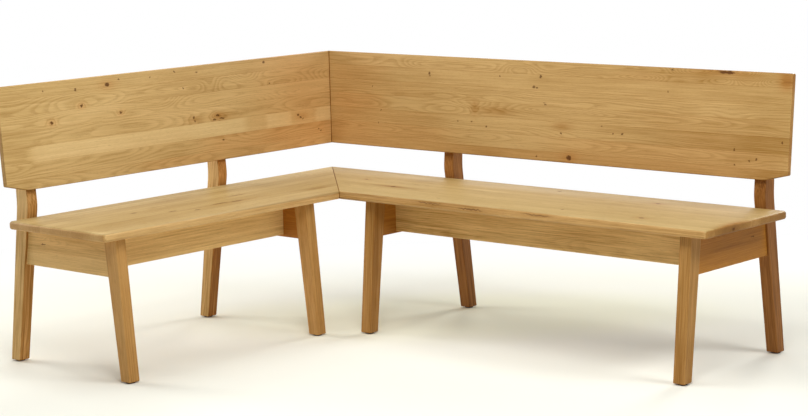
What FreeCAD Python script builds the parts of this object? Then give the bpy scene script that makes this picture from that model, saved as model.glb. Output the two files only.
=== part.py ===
import FreeCAD, Part
import math
import os

# A corner bench of solid oak: two wings of different length that meet at a mitre, each with a seat board,
# a leaning back panel, two front legs, two rear legs that carry on upward as posts, and rails below the seat.
# Lengths are in millimetres and angles in degrees.
# Each wing has its own directions. Along runs from the corner to the free end, depth runs forward from the
# back edge of the seat, and height is taken from the floor. The long wing lies along +X and the short one
# along -Y, and the origin is on the floor below the middle of the whole bench.

# Seat boards
seat_height = 460
seat_depth = 440
seat_thickness = 25
long_seat_length = 1842
short_seat_length = 1440
seat_edge_radius = 8
seat_corner_radius = 12
mitre_gap = 1.5

# Legs, with the places of the pairs along each wing
leg_width = 40
leg_edge_radius = 3
foot_chamfer = 2
end_overhang = 76
corner_leg_setback = 76

# Front legs, which splay forward and get slimmer to the floor
front_leg_inset = 42
front_leg_top_depth = 53
front_leg_splay = 38.5
front_foot_depth = 40

# Rear legs, which rise behind the seat, bend at a knee and lean back as posts
rear_foot_reach = 114
rear_foot_depth = 40
post_clearance = 2.5
knee_rise = 35
knee_depth = 53
knee_radius = 150
rear_bend_radius = 250
post_top_depth = 38
post_top_drop = 70

# Back panels, which stand on the front faces of the posts
panel_rise = 85.5
panel_height = 320.5
panel_thickness = 18
panel_lean = 5.2
panel_end_overhang = 8
panel_edge_radius = 2.5
panel_corner_radius = 5
panel_clip_length = 80
panel_clip_height = 19.5
panel_clip_radius = 60

# Rails: a cross apron joins the legs of each pair, and a front and a rear apron join the pairs
apron_thickness = 25
cross_apron_height = 122
long_apron_height = 115
front_apron_setback = 56.5
rear_apron_inset = 60
apron_edge_radius = 1.5

# Glides under the feet
glide_height = 4
glide_diameter = 28
glide_edge_radius = 1

# Wooden dowels
dowel_clearance = 0.1
dowel_end_room = 1
leg_dowel_diameter = 10
leg_dowel_length = 50
rail_dowel_diameter = 8
rail_dowel_length = 32
rail_dowel_bite = 12
seat_dowel_diameter = 10
seat_dowel_length = 60
apron_dowel_shares = (0.25, 0.75)
seat_dowel_shares = (0.15, 0.5, 0.85)

# Steel plates below the seat mitre, with four screws each
corner_plate_length = 120
corner_plate_width = 40
corner_plate_thickness = 3
corner_plate_shares = (0.32, 0.68)
plate_screw_length_shares = (-0.4, -0.2, 0.2, 0.4)
plate_screw_width_shares = (-0.22, 0.22, -0.22, 0.22)

# Steel angles that hold the seat down to the cross aprons
seat_angle_leg = 26
seat_angle_width = 20
seat_angle_thickness = 2
seat_angle_shares = (0.25, 0.75)
seat_angle_screw_share = 0.6

# Steel angle round the back of the panel mitre
back_angle_reach = 55
back_angle_height = 90
back_angle_thickness = 3
back_angle_share = 0.5
back_screw_reach_share = 0.55
back_screw_height_shares = (0.22, 0.78)

# Short screws for all the steel, and long screws through the posts
screw_diameter = 4
screw_length = 17
screw_head_diameter = 8
screw_head_height = 2.4
screw_socket_width = 3
screw_socket_depth = 1.4
screw_clearance = 0.15
post_screw_diameter = 5
post_screw_grip = 30
post_screw_bite = 12
post_screw_head_diameter = 10
post_screw_head_height = 3.4
post_screw_socket_width = 4
post_screw_socket_depth = 2
post_screw_bore_diameter = 13
post_screw_shares = (0.15, 0.5, 0.85)

# Worked out from the sizes above
seat_lengths = {"long": long_seat_length, "short": short_seat_length}
seat_underside = seat_height - seat_thickness
middle_x = (long_seat_length + panel_end_overhang - rear_foot_reach) / 2
middle_y = (rear_foot_reach - short_seat_length - panel_end_overhang) / 2
lean = math.radians(panel_lean)

front_top_face = seat_depth - front_leg_inset
front_foot_face = front_top_face + front_leg_splay
rear_foot_face = rear_foot_depth - rear_foot_reach
rear_leg_slope = (-post_clearance - rear_foot_face) / (seat_height - glide_height)
knee_height = seat_height + knee_rise
knee_face = knee_rise * rear_leg_slope - post_clearance
panel_foot_height = seat_height + panel_rise
panel_foot_face = knee_face - (panel_foot_height - knee_height) * math.tan(lean)
post_top = panel_height - post_top_drop
corner_leg_start = seat_depth + corner_leg_setback
apron_recess = (leg_width - apron_thickness) / 2
front_apron_face = front_top_face - front_leg_top_depth - front_apron_setback
tolerance = leg_edge_radius / 1000

pieces = {}
cuts = {}


def spot(wing, along, depth, height):
    if wing == "long":
        return FreeCAD.Vector(along - middle_x, -depth - middle_y, height)
    return FreeCAD.Vector(depth - middle_x, -along - middle_y, height)


def heading(wing, along, depth, height):
    return spot(wing, along, depth, height) - spot(wing, 0, 0, 0)


def panel_depth_height(up, out):
    """A place by the back panel: up its slope from its lower edge, and out in front of its back face."""
    depth = panel_foot_face - up * math.sin(lean) + out * math.cos(lean)
    height = panel_foot_height + up * math.cos(lean) + out * math.sin(lean)
    return (depth, height)


def panel_spot(wing, along, up, out):
    return spot(wing, along, *panel_depth_height(up, out))


def bend(before, here, after, radius):
    """Start, middle and end of the arc that rounds a corner."""
    back = (before - here).normalize()
    ahead = (after - here).normalize()
    half = back.getAngle(ahead) / 2
    inward = (back + ahead).normalize()
    run = radius / math.tan(half)
    start = here + back * run
    end = here + ahead * run
    middle = here + inward * (radius / math.sin(half) - radius)
    return (start, middle, end)


def rounded_face(points, radii):
    count = len(points)
    corners = []
    for index in range(count):
        corners.append(bend(points[index - 1], points[index], points[(index + 1) % count], radii[index]))
    edges = []
    for index in range(count):
        start, middle, end = corners[index]
        if radii[index] > 0:
            edges.append(Part.Arc(start, middle, end).toShape())
        edges.append(Part.LineSegment(end, corners[(index + 1) % count][0]).toShape())
    return Part.Face(Part.Wire(edges))


def prism(points, sweep):
    return Part.Face(Part.makePolygon(points + points[:1])).extrude(sweep)


def edge_step(edge):
    return edge.Vertexes[-1].Point - edge.Vertexes[0].Point


def is_level(edge, height):
    return all(abs(vertex.Point.z - height) < tolerance for vertex in edge.Vertexes)


def runs_along(edge, direction):
    return abs(edge_step(edge).dot(direction)) > tolerance


def drill(name, tool):
    cuts.setdefault(name, []).append(tool)


def rod(start, direction, diameter, length):
    return Part.makeCylinder(diameter / 2, length, start, direction)


def add_solids(name, solids):
    pieces.setdefault(name, []).extend(solids)


def leg_start(wing, place):
    """Near face of a leg, along the wing."""
    if place == "corner":
        return corner_leg_start
    return seat_lengths[wing] - end_overhang - leg_width


def mitre_knife(wing, gap):
    """Everything on the corner's side of the mitre, with half of the gap between the boards."""
    reach = 2 * seat_depth
    shift = gap / math.sqrt(2)
    points = [
        spot(wing, shift - reach, -reach, 0),
        spot(wing, shift + reach, reach, 0),
        spot(wing, shift - reach, reach, 0),
    ]
    return prism(points, heading(wing, 0, 0, seat_height + panel_rise + 2 * panel_height))


def seat_board(wing):
    length = seat_lengths[wing]
    start = -2 * seat_edge_radius
    points = [
        spot(wing, start, 0, seat_underside),
        spot(wing, length, 0, seat_underside),
        spot(wing, length, seat_depth, seat_underside),
        spot(wing, start, seat_depth, seat_underside),
    ]
    radii = [0, seat_corner_radius, seat_corner_radius, 0]
    sweep = heading(wing, 0, 0, seat_thickness)
    board = rounded_face(points, radii).extrude(sweep)
    rims = [edge for edge in board.Edges if not runs_along(edge, sweep)]
    board = board.makeFillet(seat_edge_radius, rims)
    pieces[wing + "_seat_board"] = [board.cut(mitre_knife(wing, mitre_gap))]


def back_panel(wing):
    end = seat_lengths[wing] + panel_end_overhang
    start = -panel_height
    points = [
        panel_spot(wing, start, 0, 0),
        panel_spot(wing, end - panel_clip_length, 0, 0),
        panel_spot(wing, end, panel_clip_height, 0),
        panel_spot(wing, end, panel_height, 0),
        panel_spot(wing, start, panel_height, 0),
    ]
    radii = [0, panel_clip_radius, panel_corner_radius, panel_corner_radius, 0]
    sweep = panel_spot(wing, 0, 0, panel_thickness) - panel_spot(wing, 0, 0, 0)
    board = rounded_face(points, radii).extrude(sweep)
    rims = [edge for edge in board.Edges if not runs_along(edge, sweep)]
    board = board.makeFillet(panel_edge_radius, rims)
    pieces[wing + "_back_panel"] = [board.cut(mitre_knife(wing, mitre_gap))]


def front_leg(wing, place):
    start = leg_start(wing, place)
    points = [
        spot(wing, start, front_top_face - front_leg_top_depth, seat_underside),
        spot(wing, start, front_top_face, seat_underside),
        spot(wing, start, front_foot_face, glide_height),
        spot(wing, start, front_foot_face - front_foot_depth, glide_height),
    ]
    across = heading(wing, leg_width, 0, 0)
    leg = prism(points, across)
    arrises = [
        edge for edge in leg.Edges
        if not runs_along(edge, across) and not is_level(edge, glide_height) and not is_level(edge, seat_underside)
    ]
    leg = leg.makeFillet(leg_edge_radius, arrises)
    foot = [edge for edge in leg.Edges if is_level(edge, glide_height)]
    pieces[f"{wing}_front_leg_{place}"] = [leg.makeChamfer(foot_chamfer, foot)]


def rear_leg(wing, place):
    start = leg_start(wing, place)
    top_front = panel_depth_height(post_top, 0)
    top_rear = panel_depth_height(post_top, -post_top_depth)
    points = [
        spot(wing, start, rear_foot_face, glide_height),
        spot(wing, start, knee_face, knee_height),
        spot(wing, start, *top_front),
        spot(wing, start, *top_rear),
        spot(wing, start, knee_face - knee_depth, knee_height),
        spot(wing, start, -rear_foot_reach, glide_height),
    ]
    radii = [0, knee_radius, 0, 0, rear_bend_radius, 0]
    across = heading(wing, leg_width, 0, 0)
    leg = rounded_face(points, radii).extrude(across)
    lowest_top = min(top_front[1], top_rear[1]) - tolerance
    arrises = []
    for edge in leg.Edges:
        at_top = all(vertex.Point.z > lowest_top for vertex in edge.Vertexes)
        beside = not runs_along(edge, across) and not is_level(edge, glide_height)
        if at_top or beside:
            arrises.append(edge)
    leg = leg.makeFillet(leg_edge_radius, arrises)
    foot = [edge for edge in leg.Edges if is_level(edge, glide_height)]
    pieces[f"{wing}_rear_leg_{place}"] = [leg.makeChamfer(foot_chamfer, foot)]


def glide(wing, place, depth):
    centre = spot(wing, leg_start(wing, place) + leg_width / 2, depth, 0)
    disc = rod(centre, heading(wing, 0, 0, glide_height), glide_diameter, glide_height)
    rim = [edge for edge in disc.Edges if is_level(edge, 0)]
    add_solids("foot_glides", [disc.makeFillet(glide_edge_radius, rim)])


def rear_face_at(height):
    return rear_foot_face + (height - glide_height) * rear_leg_slope


def front_face_at(height):
    """Rear face of a front leg, which a cross apron meets."""
    share = (seat_underside - height) / (seat_underside - glide_height)
    top = front_top_face - front_leg_top_depth
    foot = front_foot_face - front_foot_depth
    return top + share * (foot - top)


def cross_apron(wing, place):
    start = leg_start(wing, place) + apron_recess
    low = seat_underside - cross_apron_height
    points = [
        spot(wing, start, rear_face_at(seat_underside), seat_underside),
        spot(wing, start, front_face_at(seat_underside), seat_underside),
        spot(wing, start, front_face_at(low), low),
        spot(wing, start, rear_face_at(low), low),
    ]
    across = heading(wing, apron_thickness, 0, 0)
    apron = prism(points, across)
    lower = [edge for edge in apron.Edges if is_level(edge, low) and not runs_along(edge, across)]
    pieces[f"{wing}_cross_apron_{place}"] = [apron.makeFillet(apron_edge_radius, lower)]


def cross_apron_dowels(wing, place):
    middle = leg_start(wing, place) + leg_width / 2
    apron = f"{wing}_cross_apron_{place}"
    forward = heading(wing, 0, 1, 0)
    for share in apron_dowel_shares:
        height = seat_underside - cross_apron_height * share
        ends = (("front", front_face_at(height)), ("rear", rear_face_at(height)))
        for side, face in ends:
            start = spot(wing, middle, face - leg_dowel_length / 2, height)
            add_solids("leg_dowels", [rod(start, forward, leg_dowel_diameter, leg_dowel_length)])
            length = leg_dowel_length + 2 * dowel_end_room
            hole = rod(start - forward * dowel_end_room, forward, leg_dowel_diameter + 2 * dowel_clearance, length)
            drill(apron, hole)
            drill(f"{wing}_{side}_leg_{place}", hole)


def long_apron(wing, side, rear_face):
    """A rail between the two cross aprons, square to them."""
    start = leg_start(wing, "corner") + leg_width - apron_recess
    end = leg_start(wing, "outer") + apron_recess
    low = seat_underside - long_apron_height
    points = [
        spot(wing, start, rear_face, low),
        spot(wing, end, rear_face, low),
        spot(wing, end, rear_face + apron_thickness, low),
        spot(wing, start, rear_face + apron_thickness, low),
    ]
    along = heading(wing, 1, 0, 0)
    apron = prism(points, heading(wing, 0, 0, long_apron_height))
    lower = [edge for edge in apron.Edges if is_level(edge, low) and runs_along(edge, along)]
    name = f"{wing}_{side}_apron"
    pieces[name] = [apron.makeFillet(apron_edge_radius, lower)]
    middle = rear_face + apron_thickness / 2
    ends = (("corner", start - rail_dowel_bite), ("outer", end + rail_dowel_bite - rail_dowel_length))
    for share in apron_dowel_shares:
        height = seat_underside - long_apron_height * share
        for place, first in ends:
            foot = spot(wing, first, middle, height)
            add_solids("rail_dowels", [rod(foot, along, rail_dowel_diameter, rail_dowel_length)])
            length = rail_dowel_length + 2 * dowel_end_room
            hole = rod(foot - along * dowel_end_room, along, rail_dowel_diameter + 2 * dowel_clearance, length)
            drill(name, hole)
            drill(f"{wing}_cross_apron_{place}", hole)


def screw(start, direction, diameter, length, head_diameter, head_height, socket_width, socket_depth):
    """A pan head screw, from the underside of its head."""
    head = rod(start, direction * -1, head_diameter, head_height)
    body = head.fuse(rod(start, direction, diameter, length)).removeSplitter()
    aside = direction.cross(FreeCAD.Vector(0, 0, 1))
    if aside.Length < tolerance:
        aside = FreeCAD.Vector(1, 0, 0)
    aside.normalize()
    other = direction.cross(aside)
    mouth = start - direction * head_height
    points = []
    for turn in range(6):
        angle = math.radians(60 * turn)
        points.append(mouth + (aside * math.cos(angle) + other * math.sin(angle)) * (socket_width / math.sqrt(3)))
    return body.cut(prism(points, direction * socket_depth))


def short_screw(start, direction, wood, metal, metal_thickness):
    """One screw through a steel piece into wood, with its hole in both."""
    add_solids("short_screws", [
        screw(
            start, direction, screw_diameter, screw_length, screw_head_diameter, screw_head_height,
            screw_socket_width, screw_socket_depth,
        )
    ])
    bore = screw_diameter + 2 * screw_clearance
    drill(metal, rod(start, direction, bore, metal_thickness))
    drill(wood, rod(start, direction, bore, screw_length + dowel_end_room))


def seat_mitre():
    """Dowels through the mitre of the seat boards, and the steel plates that hold it from below."""
    middle = seat_underside + seat_thickness / 2
    square = (heading("long", 1, -1, 0)).normalize()
    down_mitre = (heading("long", 1, 1, 0)).normalize()
    for share in seat_dowel_shares:
        centre = spot("long", seat_depth * share, seat_depth * share, middle)
        start = centre - square * (seat_dowel_length / 2)
        add_solids("seat_mitre_dowels", [rod(start, square, seat_dowel_diameter, seat_dowel_length)])
        length = seat_dowel_length + 2 * dowel_end_room
        hole = rod(start - square * dowel_end_room, square, seat_dowel_diameter + 2 * dowel_clearance, length)
        drill("long_seat_board", hole)
        drill("short_seat_board", hole)
    for share in corner_plate_shares:
        centre = spot("long", seat_depth * share, seat_depth * share, seat_underside)
        reach = square * (corner_plate_length / 2)
        half = down_mitre * (corner_plate_width / 2)
        points = [centre - reach - half, centre + reach - half, centre + reach + half, centre - reach + half]
        plate = prism(points, FreeCAD.Vector(0, 0, -corner_plate_thickness))
        add_solids("seat_corner_plates", [plate])
        for length_share, width_share in zip(plate_screw_length_shares, plate_screw_width_shares):
            place = centre + square * (corner_plate_length * length_share)
            place = place + down_mitre * (corner_plate_width * width_share)
            place.z = seat_underside - corner_plate_thickness
            wood = "long_seat_board" if length_share > 0 else "short_seat_board"
            short_screw(place, FreeCAD.Vector(0, 0, 1), wood, "seat_corner_plates", corner_plate_thickness)


def seat_angles(wing, place):
    """Steel angles on the corner side of a cross apron, screwed to it and up into the seat."""
    face = leg_start(wing, place) + apron_recess
    rear = rear_apron_inset + apron_thickness
    front = front_apron_face - apron_thickness
    for share in seat_angle_shares:
        middle = rear + (front - rear) * share
        edge = middle - seat_angle_width / 2
        low = seat_underside - seat_angle_leg
        points = [
            spot(wing, face, edge, low),
            spot(wing, face, edge, seat_underside),
            spot(wing, face - seat_angle_leg, edge, seat_underside),
            spot(wing, face - seat_angle_leg, edge, seat_underside - seat_angle_thickness),
            spot(wing, face - seat_angle_thickness, edge, seat_underside - seat_angle_thickness),
            spot(wing, face - seat_angle_thickness, edge, low),
        ]
        add_solids("seat_angles", [prism(points, heading(wing, 0, seat_angle_width, 0))])
        step = seat_angle_leg * seat_angle_screw_share
        foot = spot(wing, face - step, middle, seat_underside - seat_angle_thickness)
        short_screw(foot, heading(wing, 0, 0, 1), wing + "_seat_board", "seat_angles", seat_angle_thickness)
        side = spot(wing, face - seat_angle_thickness, middle, seat_underside - step)
        apron = f"{wing}_cross_apron_{place}"
        short_screw(side, heading(wing, 1, 0, 0), apron, "seat_angles", seat_angle_thickness)


def back_angle():
    """A steel angle round the back of the mitre between the panels."""
    low = (panel_height - back_angle_height) * back_angle_share
    flanges = []
    for wing in seat_lengths:
        points = [
            panel_spot(wing, -panel_height, low, 0),
            panel_spot(wing, back_angle_reach, low, 0),
            panel_spot(wing, back_angle_reach, low + back_angle_height, 0),
            panel_spot(wing, -panel_height, low + back_angle_height, 0),
        ]
        inward = panel_spot(wing, 0, 0, 0) - panel_spot(wing, 0, 0, -back_angle_thickness)
        flanges.append(prism(points, inward * -1).cut(mitre_knife(wing, 0)))
        inward.normalize()
        for share in back_screw_height_shares:
            place = panel_spot(
                wing, back_angle_reach * back_screw_reach_share, low + back_angle_height * share,
                -back_angle_thickness,
            )
            short_screw(place, inward, wing + "_back_panel", "back_corner_angle", back_angle_thickness)
    pieces["back_corner_angle"] = [flanges[0].fuse(flanges[1]).removeSplitter()]


def post_screws(wing, place):
    """Screws from bores in the back of a post into the panel."""
    middle = leg_start(wing, place) + leg_width / 2
    post = f"{wing}_rear_leg_{place}"
    inward = (panel_spot(wing, 0, 0, 1) - panel_spot(wing, 0, 0, 0)).normalize()
    for share in post_screw_shares:
        start = panel_spot(wing, middle, post_top * share, -post_screw_grip)
        add_solids("post_screws", [
            screw(
                start, inward, post_screw_diameter, post_screw_grip + post_screw_bite,
                post_screw_head_diameter, post_screw_head_height, post_screw_socket_width, post_screw_socket_depth,
            )
        ])
        bore = post_screw_diameter + 2 * screw_clearance
        shank = rod(start, inward, bore, post_screw_grip + post_screw_bite + dowel_end_room)
        drill(post, shank)
        drill(wing + "_back_panel", shank)
        drill(post, rod(start, inward * -1, post_screw_bore_diameter, knee_depth))


def wing_pieces(wing):
    seat_board(wing)
    back_panel(wing)
    for place in ("outer", "corner"):
        front_leg(wing, place)
        rear_leg(wing, place)
        glide(wing, place, front_foot_face - front_foot_depth / 2)
        glide(wing, place, rear_foot_face - rear_foot_depth / 2)
        cross_apron(wing, place)
        cross_apron_dowels(wing, place)
        seat_angles(wing, place)
        post_screws(wing, place)
    long_apron(wing, "front", front_apron_face - apron_thickness)
    long_apron(wing, "rear", rear_apron_inset)


def write_pieces():
    os.makedirs("parts", exist_ok=True)
    for name, solids in pieces.items():
        whole = Part.makeCompound(solids) if len(solids) > 1 else solids[0]
        if name in cuts:
            whole = whole.cut(Part.makeCompound(cuts[name]) if len(cuts[name]) > 1 else cuts[name][0])
        found = whole.Solids
        shape = Part.makeCompound(found) if len(found) > 1 else found[0]
        shape.exportStep("parts/" + name + ".step")
        print(name, len(found), round(shape.Volume), shape.isValid())


for wing_name in seat_lengths:
    wing_pieces(wing_name)
seat_mitre()
back_angle()
write_pieces()
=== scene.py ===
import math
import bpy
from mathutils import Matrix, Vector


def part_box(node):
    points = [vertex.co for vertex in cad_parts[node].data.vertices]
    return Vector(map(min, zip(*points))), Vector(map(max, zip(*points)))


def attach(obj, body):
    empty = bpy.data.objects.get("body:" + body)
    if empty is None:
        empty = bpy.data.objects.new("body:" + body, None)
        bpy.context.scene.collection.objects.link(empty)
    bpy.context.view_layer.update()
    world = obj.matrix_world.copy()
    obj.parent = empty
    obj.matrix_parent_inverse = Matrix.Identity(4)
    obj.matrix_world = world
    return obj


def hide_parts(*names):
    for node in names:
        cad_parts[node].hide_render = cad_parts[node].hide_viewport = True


bl_info = {
    "name": "Oak Corner Bench",
    "version": (1, 0, 0),
    "blender": (4, 5, 0),
    "location": "View3D > Sidebar > Bench",
    "description": "Dresses a mitred corner bench of solid oak and sets it in a plain studio",
    "category": "Object",
}

import bmesh
import bpy
from bpy.props import FloatProperty, FloatVectorProperty, IntProperty, PointerProperty
from mathutils import Matrix, Vector

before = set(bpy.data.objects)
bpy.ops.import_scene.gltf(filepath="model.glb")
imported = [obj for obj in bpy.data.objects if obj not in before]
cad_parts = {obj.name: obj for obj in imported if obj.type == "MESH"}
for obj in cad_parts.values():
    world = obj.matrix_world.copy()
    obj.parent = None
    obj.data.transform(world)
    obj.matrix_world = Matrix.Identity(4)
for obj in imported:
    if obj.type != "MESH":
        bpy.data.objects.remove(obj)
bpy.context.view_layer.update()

# Reading the frame. The corner is the place where the back edges of the two seat boards would meet.
MM = 0.001
SMOOTH_ANGLE = math.radians(30)
WINGS = ("long", "short")
PLACES = ("outer", "corner")
BODY = "root"
LONG_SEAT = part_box("long_seat_board")
SHORT_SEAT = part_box("short_seat_board")
CORNER = Vector((SHORT_SEAT[0].x, LONG_SEAT[1].y, 0))
SEAT_TOP = LONG_SEAT[1].z
SEAT_UNDERSIDE = LONG_SEAT[0].z
SEAT_DEPTH = LONG_SEAT[1].y - LONG_SEAT[0].y
SEAT_LENGTH = {"long": LONG_SEAT[1].x - CORNER.x, "short": CORNER.y - SHORT_SEAT[0].y}
FOOT_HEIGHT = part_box("foot_glides")[1].z
PANEL_END = {
    "long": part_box("long_back_panel")[1].x - CORNER.x,
    "short": CORNER.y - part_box("short_back_panel")[0].y,
}
REAR_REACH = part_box("long_rear_leg_outer")[1].y - CORNER.y


# The kinds of settings. Each has a label, a description and its default.
def millimetres(label, description, value):
    return FloatProperty(name=label, description=description, default=value * MM, unit="LENGTH")


def metres(label, description, value):
    return FloatProperty(name=label, description=description, default=value, unit="LENGTH")


def degrees(label, description, value):
    return FloatProperty(name=label, description=description, default=math.radians(value), subtype="ANGLE")


def tint(label, description, value):
    return FloatVectorProperty(name=label, description=description, default=value, subtype="COLOR")


class BenchSizes(bpy.types.PropertyGroup):
    """Sizes that the frame's boxes do not give."""

    edge_radius: millimetres("Edge radius", "Rounding of the legs", 3)
    seat_edge_radius: millimetres("Seat edge radius", "Rounding of the seat boards", 8)
    seat_corner_radius: millimetres(
        "Seat corner radius", "Rounding of a seat board's outer corners, seen from above", 12)
    panel_edge_radius: millimetres("Panel edge radius", "Rounding of the back panels' edges", 2.5)
    apron_edge_radius: millimetres("Apron edge radius", "Rounding of the aprons' lower edges", 1.5)
    mitre_gap: millimetres(
        "Mitre gap", "Gap between the two boards of a mitre, closed up as far as it goes", 0.3)
    leg_width: millimetres("Leg width", "Width of every leg along its wing", 40)
    front_leg_inset: millimetres(
        "Front leg inset", "Front face of a front leg behind the seat's front edge, at the top", 42)
    front_leg_top: millimetres("Front leg top", "Depth of a front leg under the seat", 53)
    front_leg_splay: millimetres(
        "Front leg splay", "How far the foot stands in front of the leg's top", 38.5)
    front_foot: millimetres("Front foot", "Depth of a front leg at the floor", 40)
    rear_foot: millimetres("Rear foot", "Depth of a rear leg at the floor", 40)
    post_clearance: millimetres("Post clearance", "Gap between the seat's back edge and a rear leg", 2.5)
    knee_rise: millimetres("Knee rise", "Height of a rear leg's knee above the seat", 35)
    knee_depth: millimetres("Knee depth", "Depth of a rear leg at its knee", 53)
    knee_radius: millimetres("Knee radius", "Radius of the knee's front bend", 150)
    rear_bend_radius: millimetres("Rear bend radius", "Radius of the bend behind the knee", 250)
    post_top: millimetres("Post top", "Depth of a rear leg at its upper end", 38)
    post_drop: millimetres("Post drop", "How far a post ends below the panel's upper edge", 70)
    panel_rise: millimetres("Panel rise", "Height of a back panel's lower edge above the seat", 85.5)
    panel_height: millimetres("Panel height", "Height of a back panel along its slope", 320.4)
    panel_thickness: millimetres("Panel thickness", "Thickness of a back panel", 18)
    panel_lean: degrees("Panel lean", "Angle by which the back leans", 5.2)
    clip_length: millimetres("Clip length", "Length of the cut at a panel's lower outer corner", 80)
    clip_height: millimetres("Clip height", "Height of the cut at a panel's lower outer corner", 19.5)
    clip_radius: millimetres("Clip radius", "Rounding where that cut leaves the lower edge", 60)
    panel_corner_radius: millimetres(
        "Panel corner radius", "Rounding of a panel's other outer corners", 5)
    apron_thickness: millimetres("Apron thickness", "Thickness of every apron", 25)
    bend_steps: IntProperty(
        name="Bend steps", description="Steps in the larger bends", default=16, min=4)
    edge_steps: IntProperty(
        name="Edge steps", description="Steps in a rounded edge", default=5, min=2)


class BenchFinish(bpy.types.PropertyGroup):
    """Colours of the oiled oak and of the small pieces."""

    long_panel_oak: tint(
        "Long panel oak", "Mean colour of the long wing's back panel", (0.60, 0.392, 0.156))
    short_panel_oak: tint(
        "Short panel oak", "Mean colour of the short wing's back panel", (0.64, 0.435, 0.180))
    seat_oak: tint("Seat oak", "Mean colour of the seat boards", (0.53, 0.375, 0.155))
    apron_oak: tint("Apron oak", "Mean colour of most aprons", (0.73, 0.455, 0.165))
    leg_oak: tint("Leg oak", "Mean colour of the front legs", (0.47, 0.245, 0.07))
    rear_leg_oak: tint("Rear leg oak", "Mean colour of the short wing's rear legs", (0.60, 0.36, 0.125))
    # Partly darker oak, partly painted shade on the long wing's rear legs, which stand under the seat and
    # the panel.
    dark_oak_and_shade: tint("Dark oak", "Mean colour of the long wing's rear legs", (0.34, 0.14, 0.030))
    # Partly browner oak, partly painted shade on the cross aprons that lie deep under the seats or face away
    # from the lamps.
    brown_oak_and_shade: tint("Brown oak", "Mean colour of the darker cross aprons", (0.42, 0.172, 0.022))
    deep_share: FloatVectorProperty(
        name="Deep figure", description="Share of the mean colour where the figure is darkest",
        default=(0.62, 0.53, 0.33))
    pale_share: FloatVectorProperty(
        name="Pale figure", description="Share of the mean colour where the figure is palest",
        default=(1.26, 1.38, 1.60))
    oak_pore: tint("Pore", "Open pores", (0.17, 0.055, 0.006))
    oak_knot: tint("Knot", "Core of a knot", (0.10, 0.030, 0.003))
    oak_roughness: FloatProperty(
        name="Oak roughness", description="Roughness of the oiled face", default=0.52, subtype="FACTOR")
    ring_spacing: millimetres("Ring spacing", "Distance between growth rings", 3.1)
    beech: tint("Beech", "Raw wood of the dowels", (0.62, 0.43, 0.26))
    steel: tint("Steel", "Zinc plated steel", (0.46, 0.46, 0.45))
    glide: tint("Glide", "Plastic under the feet", (0.05, 0.04, 0.035))


class BenchStudio(bpy.types.PropertyGroup):
    """Floor, lights and camera."""

    floor_colour: tint("Floor", "Colour of the floor", (0.86, 0.86, 0.775))
    # Painted shadow: a darker, yellower floor colour under the bench.
    floor_painted_shadow: tint("Shaded floor", "Colour of the floor under the bench", (0.83, 0.835, 0.68))
    white_from: metres(
        "White from", "Where the floor starts to fade into the white backdrop, away from the viewer",
        1.15)
    white_to: metres("White to", "Where the floor has become the white backdrop", 2.1)
    round_from: metres(
        "Round from", "Distance all round from which the floor fades into the white backdrop", 2.4)
    round_to: metres(
        "Round to", "Distance all round at which the floor has become the white backdrop", 4.2)
    floor_size: metres("Floor size", "Side of the square floor", 60.0)
    fill_strength: FloatProperty(
        name="Fill", description="Strength of the even white light from all round", default=0.05)
    lamp_strength: FloatProperty(
        name="Lamps", description="Strength of a softbox of share one, in watts", default=100.0)
    ceiling_height: metres("Ceiling height", "Height of the softboxes that point down", 2.7)
    ceiling_size: metres("Ceiling softbox", "Side of a softbox that points down", 1.2)
    side_size: metres("Side softbox", "Side of a softbox that stands beside the bench", 1.6)
    camera_place: FloatVectorProperty(
        name="Camera place", description="Where the camera stands", subtype="TRANSLATION", unit="LENGTH",
        default=(4.1972, -4.7443, 1.4586))
    camera_yaw: degrees("Camera yaw", "Turn of the view from +Y towards -X", 41.1735)
    camera_pitch: degrees("Camera pitch", "How far the view looks down", 8.8531)
    camera_roll: degrees("Camera roll", "Turn of the camera about its view", -1.2848)
    focal_pixels: FloatProperty(
        name="Focal length in pixels", description="Focal length in pixels of the photograph's frame",
        default=2117.7)
    frame_pixels: IntProperty(
        name="Frame width", description="Width of the photograph's frame in pixels", default=808)


def sizes():
    return bpy.context.scene.bench_sizes


def finish():
    return bpy.context.scene.bench_finish


def studio():
    return bpy.context.scene.bench_studio


# Places on the bench. Along runs from the corner to a wing's free end, and depth forward from the seat's
# back edge.
def spot(wing, along, depth, height):
    if wing == "long":
        return CORNER + Vector((along, -depth, height))
    return CORNER + Vector((depth, -along, height))


def heading(wing, along, depth, height):
    return spot(wing, along, depth, height) - CORNER


def knee():
    """Place of a rear leg's knee as depth and height, before it is rounded."""
    s = sizes()
    foot = s.rear_foot - REAR_REACH
    slope = (-s.post_clearance - foot) / (SEAT_TOP - FOOT_HEIGHT)
    return (s.knee_rise * slope - s.post_clearance, SEAT_TOP + s.knee_rise)


def slope_point(up, out):
    """Depth and height of a place up the panel's slope and out in front of its back face."""
    s = sizes()
    depth, height = knee()
    foot_height = SEAT_TOP + s.panel_rise
    foot_depth = depth - (foot_height - height) * math.tan(s.panel_lean)
    return (
        foot_depth - up * math.sin(s.panel_lean) + out * math.cos(s.panel_lean),
        foot_height + up * math.cos(s.panel_lean) + out * math.sin(s.panel_lean),
    )


def leg_start(wing, place):
    """Near side of a leg along its wing, from the leg's box."""
    low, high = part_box(f"{wing}_front_leg_{place}")
    return low.x - CORNER.x if wing == "long" else CORNER.y - high.y


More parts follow.
